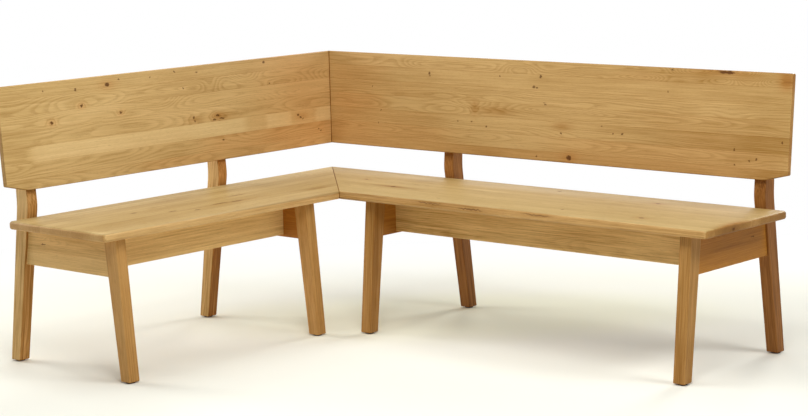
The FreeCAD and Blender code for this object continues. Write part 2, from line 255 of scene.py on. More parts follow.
def bend(before, here, after, radius, steps):
    """Points of the arc that rounds a corner of a flat outline."""
    before, here, after = Vector(before), Vector(here), Vector(after)
    if radius <= 0:
        return [tuple(here)]
    back = (before - here).normalized()
    ahead = (after - here).normalized()
    half = back.angle(ahead) / 2
    centre = here + (back + ahead).normalized() * (radius / math.sin(half))
    start = here + back * (radius / math.tan(half)) - centre
    end = here + ahead * (radius / math.tan(half)) - centre
    whole = start.angle(end)
    points = []
    for step in range(steps + 1):
        share = step / steps
        mix = start * (math.sin((1 - share) * whole) / math.sin(whole))
        mix += end * (math.sin(share * whole) / math.sin(whole))
        points.append(tuple(centre + mix))
    return points


def rounded(corners, steps):
    """Outline points and, for each, whether it is a sharp corner."""
    points = []
    sharp = []
    for index, (first, second, radius) in enumerate(corners):
        before = corners[index - 1][:2]
        after = corners[(index + 1) % len(corners)][:2]
        arc = bend(before, (first, second), after, radius, steps)
        points += arc
        sharp += [len(arc) == 1] * len(arc)
    return points, sharp


def new_object(name, data):
    made = bpy.data.objects.new(name, data)
    bpy.context.scene.collection.objects.link(made)
    return made


def make_solid(name, near, far, radius, rims, sides):
    """A closed solid between two outlines. Rims and sides say how round each edge is, from 0 to 1.

    Edge i of both outlines runs from point i to the next and takes rims[i]; the edge that joins point i
    of the two outlines takes sides[i].
    """
    mesh = bpy.data.meshes.new(name)
    shape = bmesh.new()
    weight = shape.edges.layers.float.new("bevel_weight_edge")
    near_points = [shape.verts.new(point) for point in near]
    far_points = [shape.verts.new(point) for point in far]
    shape.faces.new(near_points)
    shape.faces.new(far_points)
    count = len(near)
    for index in range(count):
        after = (index + 1) % count
        shape.faces.new([near_points[index], near_points[after], far_points[after], far_points[index]])
    bmesh.ops.recalc_face_normals(shape, faces=shape.faces)
    for index in range(count):
        after = (index + 1) % count
        shape.edges.get((near_points[index], near_points[after]))[weight] = rims[index][0]
        shape.edges.get((far_points[index], far_points[after]))[weight] = rims[index][1]
        shape.edges.get((near_points[index], far_points[index]))[weight] = sides[index]
    for edge in shape.edges:
        edge.smooth = edge[weight] > 0 or edge.calc_face_angle() < SMOOTH_ANGLE
    for face in shape.faces:
        face.smooth = True
    shape.to_mesh(mesh)
    shape.free()
    piece = new_object(name, mesh)
    edge = piece.modifiers.new("rounded_edges", "BEVEL")
    edge.limit_method = "WEIGHT"
    edge.offset_type = "OFFSET"
    edge.width = radius
    edge.segments = sizes().edge_steps
    edge.harden_normals = True
    edge.use_clamp_overlap = False
    return piece


def make_bar(name, wing, ends, outline, radius, rims, sides):
    """A solid between two places along a wing, with one outline of depths and heights."""
    near, far = ([spot(wing, along, depth, height) for depth, height in outline] for along in ends)
    return make_solid(name, near, far, radius, rims, sides)


def hand_in(piece, node, material):
    """Makes a piece stand for its node of the frame."""
    piece.data.materials.append(material)
    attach(piece, BODY)
    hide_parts(node)


class Weaver:
    """Writes a node tree with one short call per node."""

    def __init__(self, tree):
        self.tree = tree

    def node(self, kind, **settings):
        made = self.tree.nodes.new(kind)
        for key, value in settings.items():
            setattr(made, key, value)
        return made

    def feed(self, node, values):
        """Links or sets a node's inputs, each by its name or number, and gives the node."""
        for key, value in values.items():
            if isinstance(value, bpy.types.NodeSocket):
                self.tree.links.new(value, node.inputs[key])
            elif value is not None:
                node.inputs[key].default_value = value
        return node

    def math(self, operation, first, second=None, third=None):
        made = self.node("ShaderNodeMath", operation=operation)
        return self.feed(made, {0: first, 1: second, 2: third}).outputs[0]

    def plus(self, first, second):
        return self.math("ADD", first, second)

    def minus(self, first, second):
        return self.math("SUBTRACT", first, second)

    def times(self, first, second):
        return self.math("MULTIPLY", first, second)

    def scaled(self, value, factor, base):
        """A value times a factor, on top of a base."""
        return self.math("MULTIPLY_ADD", value, factor, base)

    def centred(self, value, width):
        """A value between 0 and 1 as one between minus and plus half a width."""
        return self.scaled(value, width, -width / 2)

    def vector(self, operation, first, second=None, scale=None):
        made = self.node("ShaderNodeVectorMath", operation=operation)
        self.feed(made, {0: first, 1: second, "Scale": scale})
        return made.outputs["Value" if operation in ("DOT_PRODUCT", "LENGTH") else "Vector"]

    def dot(self, place, direction):
        return self.vector("DOT_PRODUCT", place, tuple(direction))

    def combine(self, x, y, z):
        return self.feed(self.node("ShaderNodeCombineXYZ"), {0: x, 1: y, 2: z}).outputs[0]

    def separate(self, vector):
        return self.feed(self.node("ShaderNodeSeparateXYZ"), {0: vector}).outputs

    def noise(self, place, rate, detail=2.0, roughness=0.5):
        """Noise that changes in each direction at a rate of its own, per metre."""
        made = self.node("ShaderNodeTexNoise", noise_dimensions="3D")
        place = self.vector("MULTIPLY", place, rate)
        self.feed(made, {"Vector": place, "Scale": 1.0, "Detail": detail, "Roughness": roughness})
        return made.outputs

    def step(self, value, low, high, start=0.0, end=1.0):
        """A smooth step of a value from one level to another."""
        made = self.node("ShaderNodeMapRange", interpolation_type="SMOOTHSTEP")
        levels = {"Value": value, "From Min": low, "From Max": high, "To Min": start, "To Max": end}
        return self.feed(made, levels).outputs[0]

    def mix(self, share, first, second, blend="MIX"):
        made = self.node("ShaderNodeMix", data_type="RGBA", blend_type=blend)
        colours = [index for index, socket in enumerate(made.inputs) if socket.type == "RGBA"]
        self.feed(made, {"Factor": share, colours[0]: first, colours[1]: second})
        return [socket for socket in made.outputs if socket.type == "RGBA"][0]

    def ramp(self, value, stops, interpolation="LINEAR"):
        made = self.node("ShaderNodeValToRGB")
        made.color_ramp.interpolation = interpolation
        elements = made.color_ramp.elements
        elements[0].position, elements[0].color = stops[0]
        elements[1].position, elements[1].color = stops[-1]
        for position, colour in stops[1:-1]:
            elements.new(position).color = colour
        return self.feed(made, {0: value}).outputs[0]

    def bump(self, height, strength, distance):
        made = self.node("ShaderNodeBump")
        return self.feed(made, {"Strength": strength, "Distance": distance, "Height": height}).outputs[0]


def opaque(colour):
    return (*colour, 1.0)


def new_material(name):
    """A material with the weaver of its nodes and its shader."""
    material = bpy.data.materials.new(name)
    material.use_nodes = True
    return material, Weaver(material.node_tree), material.node_tree.nodes["Principled BSDF"]


# How fast the noises in the wood change along, across and through the grain, per metre.
WAVER_RATE = (2.2, 7.0, 7.0)
STREAK_RATE = (1.5, 85.0, 85.0)
FIBRE_RATE = (7.0, 290.0, 290.0)
CLOUD_RATE = (3.2, 11.0, 11.0)
PORE_RATE = (60.0, 1500.0, 1500.0)
RING_RATE = 90.0
# How much they, and a stave's luck, make the wood darker or paler.
STREAK_SHARE = 0.55
FIBRE_SHARE = 0.70
CLOUD_SHARE = 0.45
LUCK_SHARE = 0.20
# Where the tree's axis lies beside a stave, in metres: how far it wavers and lies aside, how near it
# comes at least and how much further off it may be. Then the range of its slope against the stave.
WAVER = (0.0, 0.036, 0.040)
AXIS_ASIDE = 0.11
AXIS_NEAR = 0.012
AXIS_FURTHER = 0.070
AXIS_SLOPE = 0.060
# The dark band of late wood rises and falls between these shares of a growth ring, and rings are this
# uneven.
BAND_RISE = (0.0, 0.18)
BAND_FALL = (0.24, 0.80)
RING_UNEVEN = 1.6
# Where the noise of the pores turns into pores, how dark they are, and how deep they and the bands are.
PORE_FADE = (0.56, 0.68)
PORE_DARK = 0.30
PORE_DEPTH = 0.6
BAND_DEPTH = 0.25
# How far apart in the noises two staves are read, and what is left of each colour where the wood is
# reddest.
STAVES_APART = 37.0
RED_SHARE = (1.0, 0.80, 0.66)
MIDDLE = (0.5, 0.5, 0.5)
OAK_SOCKETS = {
    "INPUT": {
        "Place": "Vector", "Stave": "Float", "Seed": "Float", "Lift": "Float", "Tone": "Float",
        "Red": "Float", "Knot": "Float", "Wood": "Color", "Streak": "Float", "Rings": "Float",
    },
    "OUTPUT": {"Colour": "Color", "Roughness": "Float", "Height": "Float"},
}


def oak_group():
    """Oak, from a place whose X runs along the grain, in metres.

    Lift bends the growth rings, tone makes the wood paler or darker, red warms it, and knot darkens a
    core.
    """
    if "oak_wood" in bpy.data.node_groups:
        return bpy.data.node_groups["oak_wood"]
    f = finish()
    group = bpy.data.node_groups.new("oak_wood", "ShaderNodeTree")
    for way, sockets in OAK_SOCKETS.items():
        for name, kind in sockets.items():
            group.interface.new_socket(name, in_out=way, socket_type="NodeSocket" + kind)
    w = Weaver(group)
    given = w.node("NodeGroupInput").outputs
    chance = w.node("ShaderNodeTexWhiteNoise", noise_dimensions="2D")
    w.feed(chance, {"Vector": w.combine(given["Stave"], given["Seed"], 0.0)})
    luck = w.separate(chance.outputs["Color"])
    apart = w.vector("SCALE", chance.outputs["Color"], scale=STAVES_APART)
    shuffled = w.vector("ADD", given["Place"], apart)

    # Growth rings lie round the tree's axis, and late wood makes a dark band in each.
    waver = w.noise(shuffled, WAVER_RATE, detail=2.5, roughness=0.45)["Color"]
    waver = w.vector("MULTIPLY", w.vector("SUBTRACT", waver, MIDDLE), WAVER)
    x, y, z = w.separate(w.vector("ADD", given["Place"], waver))
    y = w.plus(y, w.centred(luck[0], AXIS_ASIDE))
    askew = w.times(x, w.centred(luck[2], AXIS_SLOPE))
    z = w.plus(w.plus(z, askew), w.scaled(luck[1], AXIS_FURTHER, AXIS_NEAR))
    radius = w.math("SQRT", w.plus(w.times(y, y), w.times(z, z)))
    radius = w.plus(radius, given["Lift"])
    place = w.combine(radius, given["Stave"], given["Seed"])
    uneven = w.noise(place, (RING_RATE, 1.0, 1.0), detail=1.0)[0]
    ring = w.math("FRACT", w.plus(w.math("DIVIDE", radius, f.ring_spacing), w.times(uneven, RING_UNEVEN)))
    band = w.times(w.step(ring, *BAND_RISE), w.step(ring, *BAND_FALL, 1.0, 0.0))

    streak = w.noise(shuffled, STREAK_RATE, detail=3.0, roughness=0.65)[0]
    fibre = w.noise(shuffled, FIBRE_RATE, roughness=0.6)[0]
    cloud = w.noise(shuffled, CLOUD_RATE)[0]
    pore = w.noise(shuffled, PORE_RATE, detail=1.0)[0]
    pores = w.times(w.step(pore, *PORE_FADE), w.scaled(band, 0.75, 0.25))

    tone = w.plus(w.plus(given["Tone"], 0.5), w.centred(luck[0], LUCK_SHARE))
    grain = w.scaled(streak, STREAK_SHARE, w.scaled(fibre, FIBRE_SHARE, -(STREAK_SHARE + FIBRE_SHARE) / 2))
    tone = w.scaled(grain, given["Streak"], tone)
    tone = w.plus(tone, w.centred(cloud, CLOUD_SHARE))
    tone = w.minus(tone, w.times(band, given["Rings"]))
    deep, pale = f.deep_share, f.pale_share
    deepest, palest = ([value * value for value in share] for share in (deep, pale))
    shades = zip((0.0, 0.25, 0.5, 0.75, 1.0), (deepest, deep, (1.0, 1.0, 1.0), pale, palest))
    shares = w.ramp(w.scaled(tone, 0.5, 0.25), [(place, opaque(share)) for place, share in shades])
    colour = w.mix(1.0, given["Wood"], shares, blend="MULTIPLY")
    warm = w.mix(1.0, colour, opaque(RED_SHARE), blend="MULTIPLY")
    colour = w.mix(w.math("MINIMUM", w.math("MAXIMUM", given["Red"], 0.0), 1.0), colour, warm)
    colour = w.mix(w.times(pores, PORE_DARK), colour, opaque(f.oak_pore))
    colour = w.mix(given["Knot"], colour, opaque(f.oak_knot))

    height = w.minus(1.0, w.times(band, BAND_DEPTH))
    height = w.minus(w.minus(height, w.times(pores, PORE_DEPTH)), given["Knot"])
    roughness = w.scaled(given["Knot"], 0.15, w.scaled(pores, 0.12, f.oak_roughness))
    w.feed(w.node("NodeGroupOutput"), {"Colour": colour, "Roughness": roughness, "Height": height})
    return group


# What a mark on the wood does: how dark its core is, how red its halo, how far it pushes the growth
# rings, in metres, and its shade.
MARK_KINDS = {
    "knot": (0.92, 0.50, 0.0065, -0.10),
    "speck": (0.80, 0.0, 0.0, 0.0),
    "swirl": (0.0, 0.0, 0.016, -0.04),
    "whorl": (0.0, 0.15, 0.034, -0.06),
    "scar": (0.66, 0.1, 0.002, -0.10),
    "stain": (0.0, 0.30, 0.004, -0.28),
    "blush": (0.0, 0.30, 0.0, -0.12),
    "ember": (0.0, 1.20, 0.004, -0.24),
    "pale": (0.0, -0.1, 0.004, 0.30),
}
# Glue lines: between which shares of a stave's width they fade, and how strong they are. Then the fade
# of the mitre, in metres, the direction across it, and the shade and redness of both.
GLUE_FADE = (0.0035, 0.010)
GLUE_STRENGTH = 0.55
MITRE_FADE = (0.9 * MM, 2.2 * MM)
MITRE_WAY = (math.sqrt(0.5), math.sqrt(0.5), 0.0)
SEAM_SHADE = -0.55
SEAM_RED = 0.8
# The noises that fray the ends of patches and tear the outlines of marks, and how far they do, in
# metres.
FRAY_RATE = (9.0, 70.0, 0.0)
FRAY = 0.06
TEAR_RATE = (120.0, 160.0, 0.0)
TEAR = 0.011
# Between which shares of its size a core fades, how much larger its halo is, and how much longer any
# halo is.
CORE_FADE = (0.60, 1.20)
HALO_SPREAD = 2.4
HALO_STRETCH = 1.5
# How squarely a face looks along or across the grain to count as an end or a side, and how far down it
# looks to go with one.
SQUARE_ON = (0.55, 0.85)
DOWNWARD = (0.1, 0.5)


def lay_staves(w, across, staves, tones):
    """The number of the stave, the place across it, how near its glue line is, and its shade."""
    first, width = (value * MM for value in staves)
    position = w.math("DIVIDE", w.minus(across, first), width)
    stave = w.math("FLOOR", position)
    part = w.minus(position, stave)
    local = w.times(w.minus(part, 0.5), width)
    nearest = w.math("MINIMUM", part, w.minus(1.0, part))
    glue = w.step(nearest, *GLUE_FADE, GLUE_STRENGTH, 0.0)
    stops = [(index / len(tones), opaque([0.5 + value] * 3)) for index, value in enumerate(tones)]
    # Above the first glue line lies stave -1, and the half reads each stop in its middle.
    lead = 1.5 if first else 0.5
    share = w.math("DIVIDE", w.plus(stave, lead), float(len(tones)))
    reading = w.feed(w.node("ShaderNodeRGBToBW"), {0: w.ramp(share, stops, interpolation="CONSTANT")})
    return stave, local, glue, w.minus(reading.outputs[0], 0.5)


def add_patches(w, flat, along, stave, patches, shade, red):
    frayed = w.scaled(w.minus(w.noise(flat, FRAY_RATE)[0], 0.5), FRAY, along)
    for which, near, far, soft, amount, warmth in patches:
        rise = w.step(frayed, (near - soft) * MM, (near + soft) * MM)
        inside = w.times(rise, w.step(frayed, (far - soft) * MM, (far + soft) * MM, 1.0, 0.0))
        if which is not None:
            inside = w.times(inside, w.math("COMPARE", stave, float(which), 0.25))
        shade = w.scaled(inside, amount, shade)
        red = w.scaled(inside, warmth, red)
    return shade, red


def add_marks(w, flat, marks, shade, red):
    core, lift = 0.0, 0.0
    tear = w.vector("SUBTRACT", w.noise(flat, TEAR_RATE)["Color"], MIDDLE)
    torn = w.vector("ADD", flat, w.vector("SCALE", tear, scale=TEAR))
    for kind, places in marks.items():
        dark, halo, push, tone = MARK_KINDS[kind]
        spread = HALO_SPREAD if dark else 1.0
        for mark_x, mark_y, half_length, half_width, *deep in places:
            below, half_depth = deep or (0.0, math.inf)
            centre = (mark_x * MM, mark_y * MM, below * MM)
            rates = [1 / (half * MM) for half in (half_length, half_width, half_depth)]
            if dark:
                near = w.vector("MULTIPLY", w.vector("SUBTRACT", torn, centre), rates)
                inside = w.step(w.vector("LENGTH", near), *CORE_FADE, dark, 0.0)
                core = w.math("MAXIMUM", core, inside)
            if push or halo:
                rates = [rate / spread for rate in rates]
                rates[0] /= HALO_STRETCH
                near = w.vector("MULTIPLY", w.vector("SUBTRACT", flat, centre), rates)
                bell = w.math("EXPONENT", w.times(w.vector("DOT_PRODUCT", near, near), -1.0))
                lift = w.scaled(bell, push, lift)
                red = w.scaled(bell, halo, red)
                shade = w.scaled(bell, tone, shade)
    return core, lift, shade, red


def find_faces(w, along, across):
    """How far a face is end grain, and how far it looks across the grain."""
    facing = w.node("ShaderNodeNewGeometry").outputs["Normal"]
    turn_along, turn_across = (w.math("ABSOLUTE", w.dot(facing, way)) for way in (along, across))
    # What looks down goes with the edge or the end that it rounds off.
    downward = w.step(w.dot(facing, (0.0, 0.0, -1.0)), *DOWNWARD)
    of_end = w.math("GREATER_THAN", turn_along, turn_across)
    of_side = w.minus(1.0, of_end)
    at_end = w.math("MAXIMUM", w.step(turn_along, *SQUARE_ON), w.times(downward, of_end))
    at_side = w.math("MAXIMUM", w.step(turn_across, *SQUARE_ON), w.times(downward, of_side))
    return at_end, at_side


def oak_material(
        name, wood, origin, along, across, seed, staves=None, tones=(), patches=(), marks=None,
        levels=None, tone=0.0, red=0.0, side=(0.0, 0.0, 0.0), end=(-0.14, 0.45), streak=1.0, rings=0.10):
    """Oak of a mean colour, whose grain runs along one direction.

    Origin, along and across are in the bench's frame. Staves is (first, width): where the first glue
    line lies across the board and how wide each stave is. Tones is one shade per stave. A patch is
    (stave, from, to, soft, shade, red), with all staves if stave is None. Marks are listed by kind, each
    as (along, across, half length, half width), with its depth and half depth after these where it
    doesn't go through. Places on the wood are in millimetres. Levels is (height, soft, lower, upper):
    shades below and above a height, each as (forward, sideways) for the faces that look forward and
    along the wing. Side is the extra shade, redness and streak of faces that look across the grain, and
    end the extra shade and redness of end grain. Streak and rings set how strong the grain and the
    growth rings show.
    """
    material, w, shader = new_material(name)
    along = Vector(along).normalized()
    across = Vector(across).normalized()
    here = w.node("ShaderNodeTexCoord").outputs["Object"]
    from_corner = w.vector("SUBTRACT", here, tuple(CORNER))
    here = w.vector("SUBTRACT", here, tuple(origin))
    x, y, z = (w.dot(here, way) for way in (along, across, along.cross(across)))
    flat = w.combine(x, y, z)
    stave, local_y, core, lift, shade = 0.0, y, 0.0, 0.0, tone
    if staves:
        stave, local_y, glue, shade = lay_staves(w, y, staves, tones)
        shade = w.plus(shade, tone)
    if patches:
        shade, red = add_patches(w, flat, x, stave, patches, shade, red)
    if marks:
        core, lift, shade, red = add_marks(w, flat, marks, shade, red)
    if staves:
        mitre = w.math("ABSOLUTE", w.dot(from_corner, MITRE_WAY))
        seam = w.math("MAXIMUM", glue, w.step(mitre, *MITRE_FADE, 1.0, 0.0))
        shade = w.scaled(seam, SEAM_SHADE, shade)
        red = w.scaled(seam, SEAM_RED, red)
    at_end, at_side = find_faces(w, along, across)
    shade = w.scaled(at_end, end[0], w.scaled(at_side, side[0], shade))
    red = w.scaled(at_end, end[1], w.scaled(at_side, side[1], red))
    streak = w.scaled(at_side, side[2], streak)
    # Shades below and above a height, for each face. On the legs these are partly painted light and shade.
    if levels:
        height, soft, lower, upper = levels
        above = w.step(x, (height - soft) * MM, (height + soft) * MM)
        forward, sideways = (w.scaled(above, b - a, a) for a, b in zip(lower, upper))
        turned = w.times(at_side, w.minus(sideways, forward))
        shade = w.plus(shade, w.plus(forward, turned))
    oak = w.feed(w.node("ShaderNodeGroup", node_tree=oak_group()), {
        "Place": w.combine(x, local_y, z), "Stave": stave, "Seed": float(seed), "Lift": lift, "Tone": shade,
        "Red": red, "Knot": core, "Wood": opaque(wood), "Streak": streak, "Rings": rings,
    }).outputs
    bump = w.bump(oak["Height"], strength=0.15, distance=0.6 * MM)
    w.feed(shader, {"Base Color": oak["Colour"], "Roughness": oak["Roughness"], "Normal": bump})
    shader.inputs["Specular IOR Level"].default_value = 0.2
    return material


# The staves of the boards in millimetres, and how dark each one is.
STAVE_WIDTH = 49.0
PANEL_FIRST_LINE = 44.0
PANEL_TONES = {
    "long": (-0.10, 0.0, 0.05, -0.02, 0.0, 0.0, -0.02, -0.02),
    "short": (-0.13, -0.05, 0.03, 0.0, 0.04, -0.07, 0.0, 0.0),
}
# Where the photograph shows patches, knots and other marks, along the wing from the corner and across
# from the upper edge of a panel or the back edge of a seat, in millimetres.
PANEL_PATCHES = {
    "long": (
        (None, 0, 200, 160, 0.03, 0.25), (None, 1100, 1900, 500, -0.08, 0.1),
        (None, 1700, 1900, 80, -0.07, 0.0), (-1, 80, 320, 40, 0.07, 0.0),
        (-1, 1520, 1620, 30, -0.14, 0.0), (0, 0, 250, 60, -0.04, 0.2), (1, 0, 420, 90, -0.06, 0.15),
        (2, 0, 250, 60, -0.02, 0.38), (2, 1330, 1900, 140, -0.03, 0.1), (3, 0, 500, 100, 0.0, 0.25),
        (3, 560, 1150, 80, 0.09, 0.0), (3, 1440, 1900, 90, -0.11, 0.2), (3, 1680, 1900, 60, -0.09, 0.0),
        (4, 0, 80, 30, -0.16, 0.1), (5, 0, 70, 20, -0.08, 0.0), (4, 0, 560, 120, 0.0, 0.4),
        (4, 500, 960, 100, 0.09, 0.0), (4, 1000, 1900, 160, 0.0, 0.3), (5, 0, 1900, 10, 0.0, 0.4),
        (5, 1760, 1900, 30, -0.12, 0.0),
    ),
    "short": (
        (None, 0, 300, 200, 0.17, 0.65), (None, 0, 900, 300, 0.0, 0.10),
        (None, 1290, 1500, 80, -0.10, 0.0), (-1, 240, 960, 100, -0.07, 0.0),
        (0, 520, 900, 80, -0.06, 0.0), (1, 900, 1300, 90, 0.05, 0.0), (3, 424, 1345, 24, 0.38, -0.1),
        (4, 700, 830, 30, -0.09, 0.0), (5, 1340, 1500, 30, -0.16, 0.0), (3, 322, 424, 20, 0.14, 0.0),
        (3, 203, 325, 12, 0.35, -0.1), (3, 0, 89, 10, 0.22, -0.2), (3, 101, 200, 14, 0.12, 0.0),
        (4, 0, 630, 90, 0.0, 0.5), (5, 0, 900, 60, 0.0, 0.35),
    ),
}
PANEL_MARKS = {
    "long": {
        "speck": (
            (943, 134.7, 6, 1.6), (947, 139.6, 6, 1.6), (896, 84.2, 7, 5), (910, 86.2, 5, 4),
            (923, 48.5, 5, 6), (453, 58.4, 4, 6), (455, 67.3, 4, 3), (756, 54.5, 3, 3),
            (1415, 73.3, 4, 3), (1252, 213.9, 5, 3.5), (1216, 215.8, 3.5, 3), (1172, 196.1, 4, 2),
            (1013, 227.7, 4, 3), (1740, 260.4, 3.5, 3.5), (1715, 266.3, 3.5, 3), (1662, 235.7, 3, 5),
            (1666, 281.2, 3, 2.5), (1826, 205, 3, 4), (708, 222.8, 4, 3), (644, 210.9, 4, 3),
            (586, 212.9, 3, 2.5), (232, 238.6, 3, 3), (242, 195.1, 3, 2.5), (198, 113.9, 3, 2.5),
            (920, 306.9, 4, 2.5), (1428, 7, 5, 3),
        ),
        "knot": ((1049, 304, 10, 9), (1624, 6, 30, 5)),
        "stain": ((1017, 205.9, 26, 12), (655, 164.4, 12, 26), (745, 169.3, 44, 16)),
        "ember": ((1831, 22.8, 16, 26),),
        "swirl": (
            (650, 159.4, 55, 26), (784, 161.4, 90, 20), (1667, 166.3, 210, 55), (1171, 161.4, 150, 26),
            (417, 161.4, 160, 24), (278, 27.8, 60, 20), (833, 27.8, 50, 18), (1131, 32.7, 70, 18),
        ),
        "whorl": ((1319, 30, 70, 18), (1508, 16, 60, 24), (1696, 20, 45, 26)),
    },
    "short": {
        "knot": (
            (1015, 28.7, 10, 7), (1127, 85.2, 6, 5), (1252, 126.8, 6, 5), (970, 122.8, 5, 4),
            (552, 171.3, 8, 4),
        ),
        "speck": (
            (1145, 33.7, 5, 4), (314, 14.9, 6, 4), (295, 87.2, 4, 3), (628, 22.8, 5, 3),
            (726, 12.9, 4, 3), (694, 68.3, 3, 4), (659, 169.3, 4, 5), (655, 181.2, 4, 3),
            (532, 183.2, 14, 4), (567, 185.2, 8, 3), (171, 206.9, 6, 4), (159, 216.8, 5, 4),
            (149, 222.8, 3, 3), (76, 265.4, 3, 3), (65, 272.3, 3, 3), (1273, 26.8, 3, 3),
            (965, 16.9, 3, 3), (832, 20.8, 3, 3), (536, 254.5, 5, 3),
        ),
        "swirl": (
            (572, 64.4, 40, 30), (694, 42.6, 50, 18), (794, 102, 80, 24), (417, 52.5, 60, 26),
            (198, 82.2, 90, 26), (377, 131.7, 80, 20),
        ),
        "stain": ((536, 177, 40, 14), (660, 176, 26, 12), (151, 212.9, 26, 14)),
    },
}
# The long seat board's staves along its back edge are darker: partly the staves' own tone, partly painted
# shade along that edge.
SEAT_TONES = {
    "long": (-0.27, -0.32, -0.14, -0.05, 0.01, -0.05, -0.03, -0.05, 0.09),
    "short": (-0.06, 0.01, -0.09, 0.02, -0.03, -0.22, -0.34, -0.12, -0.07),
}
# The front edge and the free end of each seat board: extra shade and redness, and extra streak for the
# edge.
SEAT_SIDES = {"long": (0.02, 0.9, 1.6), "short": (0.48, 0.8, 1.4)}
SEAT_ENDS = {"long": (-0.33, 1.0), "short": (0.18, 1.0)}
SEAT_PATCHES = {
    "long": ((None, 1300, 1900, 300, -0.06, 0.0),),
    "short": ((None, 700, 1500, 300, -0.10, 0.0),),
}
SEAT_MARKS = {
    "long": {
        "knot": (
            (514, 259, 9, 8), (327, 179, 6, 5), (1446, 96, 9, 7), (1558, 347, 9, 6),
            (1843, 297, 6, 7, 15, 5),
        ),
        "speck": ((1040, 51, 8, 6), (1271, 347, 6, 4), (806, 375, 6, 3)),
        "pale": ((820, 165, 60, 16), (1843, 180, 14, 26)),
        "swirl": ((700, 200, 200, 22), (1300, 180, 200, 24), (1000, 330, 220, 24), (1843, 180, 20, 20)),
        "stain": ((520, 262, 70, 14), (1843, 330, 14, 60)),
        "ember": ((1843, 285, 14, 62),),
        "scar": ((820, 440, 60, 4, 6, 2), (990, 440, 55, 5, 12, 3), (1245, 440, 60, 4, 7, 2)),
    },
    "short": {
        "speck": ((1119, 208, 14, 5), (1026, 283, 18, 5), (961, 325, 12, 5)),
        "scar": ((830, 290, 38, 6), (765, 300, 30, 6), (674, 210, 44, 4)),
        "stain": ((421, 325, 30, 12),),
        "pale": ((1441, 394, 14, 30),),
        "blush": ((540, 446, 110, 10),),
        "swirl": ((900, 200, 200, 24), (500, 120, 160, 22)),
    },
}
SEAT_SEEDS = {"long": 11, "short": 23}
PANEL_SEEDS = {"long": 5, "short": 8}
# How round the edges along a mitre are, as a share of the others.
SEAT_MITRE_SHARE = 0.08
PANEL_MITRE_SHARE = 0.14


def build_seat_board(wing):
    s = sizes()
    length = SEAT_LENGTH[wing]
    shift = s.mitre_gap / math.sqrt(2)
    corners = [
        (shift, 0, 0), (length, 0, s.seat_corner_radius), (length, SEAT_DEPTH, s.seat_corner_radius),
        (SEAT_DEPTH + shift, SEAT_DEPTH, 0),
    ]
    plan = rounded(corners, s.edge_steps)[0]
    lower, upper = ([spot(wing, a, d, height) for a, d in plan] for height in (SEAT_UNDERSIDE, SEAT_TOP))
    rims = [(1, 1)] * (len(plan) - 1) + [(SEAT_MITRE_SHARE, SEAT_MITRE_SHARE)]
    piece = make_solid(f"{wing}_seat", lower, upper, s.seat_edge_radius, rims, [0] * len(plan))
    material = oak_material(
        f"oak_{wing}_seat", finish().seat_oak, spot(wing, 0, 0, SEAT_TOP), heading(wing, 1, 0, 0),
        heading(wing, 0, 1, 0), SEAT_SEEDS[wing], staves=(0.0, STAVE_WIDTH), tones=SEAT_TONES[wing],
        patches=SEAT_PATCHES[wing], marks=SEAT_MARKS[wing], side=SEAT_SIDES[wing], end=SEAT_ENDS[wing],
        streak=0.65)
    hand_in(piece, f"{wing}_seat_board", material)


def build_back_panel(wing):
    s = sizes()
    end = PANEL_END[wing]
    shift = s.mitre_gap / math.sqrt(2)
    corners = [
        (0, 0, 0), (end - s.clip_length, 0, s.clip_radius), (end, s.clip_height, s.panel_corner_radius),
        (end, s.panel_height, s.panel_corner_radius), (0, s.panel_height, 0),
    ]
    points = rounded(corners, s.edge_steps)[0]
    faces = []
    for out in (0, s.panel_thickness):
        face = []
        for along, up in points:
            depth, height = slope_point(up, out)
            if along == 0:
                along = depth + shift
            face.append(spot(wing, along, depth, height))
        faces.append(face)
    rims = [(1, 1)] * (len(points) - 1) + [(PANEL_MITRE_SHARE, PANEL_MITRE_SHARE)]
    piece = make_solid(f"{wing}_back", *faces, s.panel_edge_radius, rims, [0] * len(points))
    top = spot(wing, 0, *slope_point(s.panel_height, s.panel_thickness))
    down = spot(wing, 0, *slope_point(0, s.panel_thickness)) - top
    wood = getattr(finish(), f"{wing}_panel_oak")
    # The side shade darkens the panel's rounded upper and lower edges: painted shade that keeps the rounding
    # from showing bright.
    material = oak_material(
        f"oak_{wing}_back", wood, top, heading(wing, 1, 0, 0), down, PANEL_SEEDS[wing],
        staves=(PANEL_FIRST_LINE, STAVE_WIDTH), tones=PANEL_TONES[wing], patches=PANEL_PATCHES[wing],
        marks=PANEL_MARKS[wing], side=(-0.35, 0.2, 0.0), streak=0.78, rings=0.14)
    hand_in(piece, f"{wing}_back_panel", material)


def build_leg(wing, place, side, corners, seed, wood, levels, red, streak):
    s = sizes()
    start = leg_start(wing, place)
    points, sharp = rounded(corners, s.bend_steps)
    # What touches the seat stays sharp.
    at_seat = [abs(height - SEAT_UNDERSIDE) < MM for depth, height in points]
    rims = []
    sides = []
    for index, touches in enumerate(at_seat):
        after = at_seat[(index + 1) % len(points)]
        rims.append((0, 0) if touches and after else (1, 1))
        sides.append(1 if sharp[index] and not touches else 0)
    name = f"{wing}_{side}_leg_{place}"
    ends = (start, start + s.leg_width)
    piece = make_bar(f"{name}_piece", wing, ends, points, s.edge_radius, rims, sides)
    rise = (Vector(points[1]) - Vector(points[0])).normalized()
    grain = heading(wing, 0, rise.x, rise.y)
    material = oak_material(
        f"oak_{name}", wood, spot(wing, start, *points[0]), grain, heading(wing, 1, 0, 0), seed,
        levels=levels, red=red[0], side=(0.0, red[1] - red[0], 0.0), streak=streak)
    hand_in(piece, name, material)


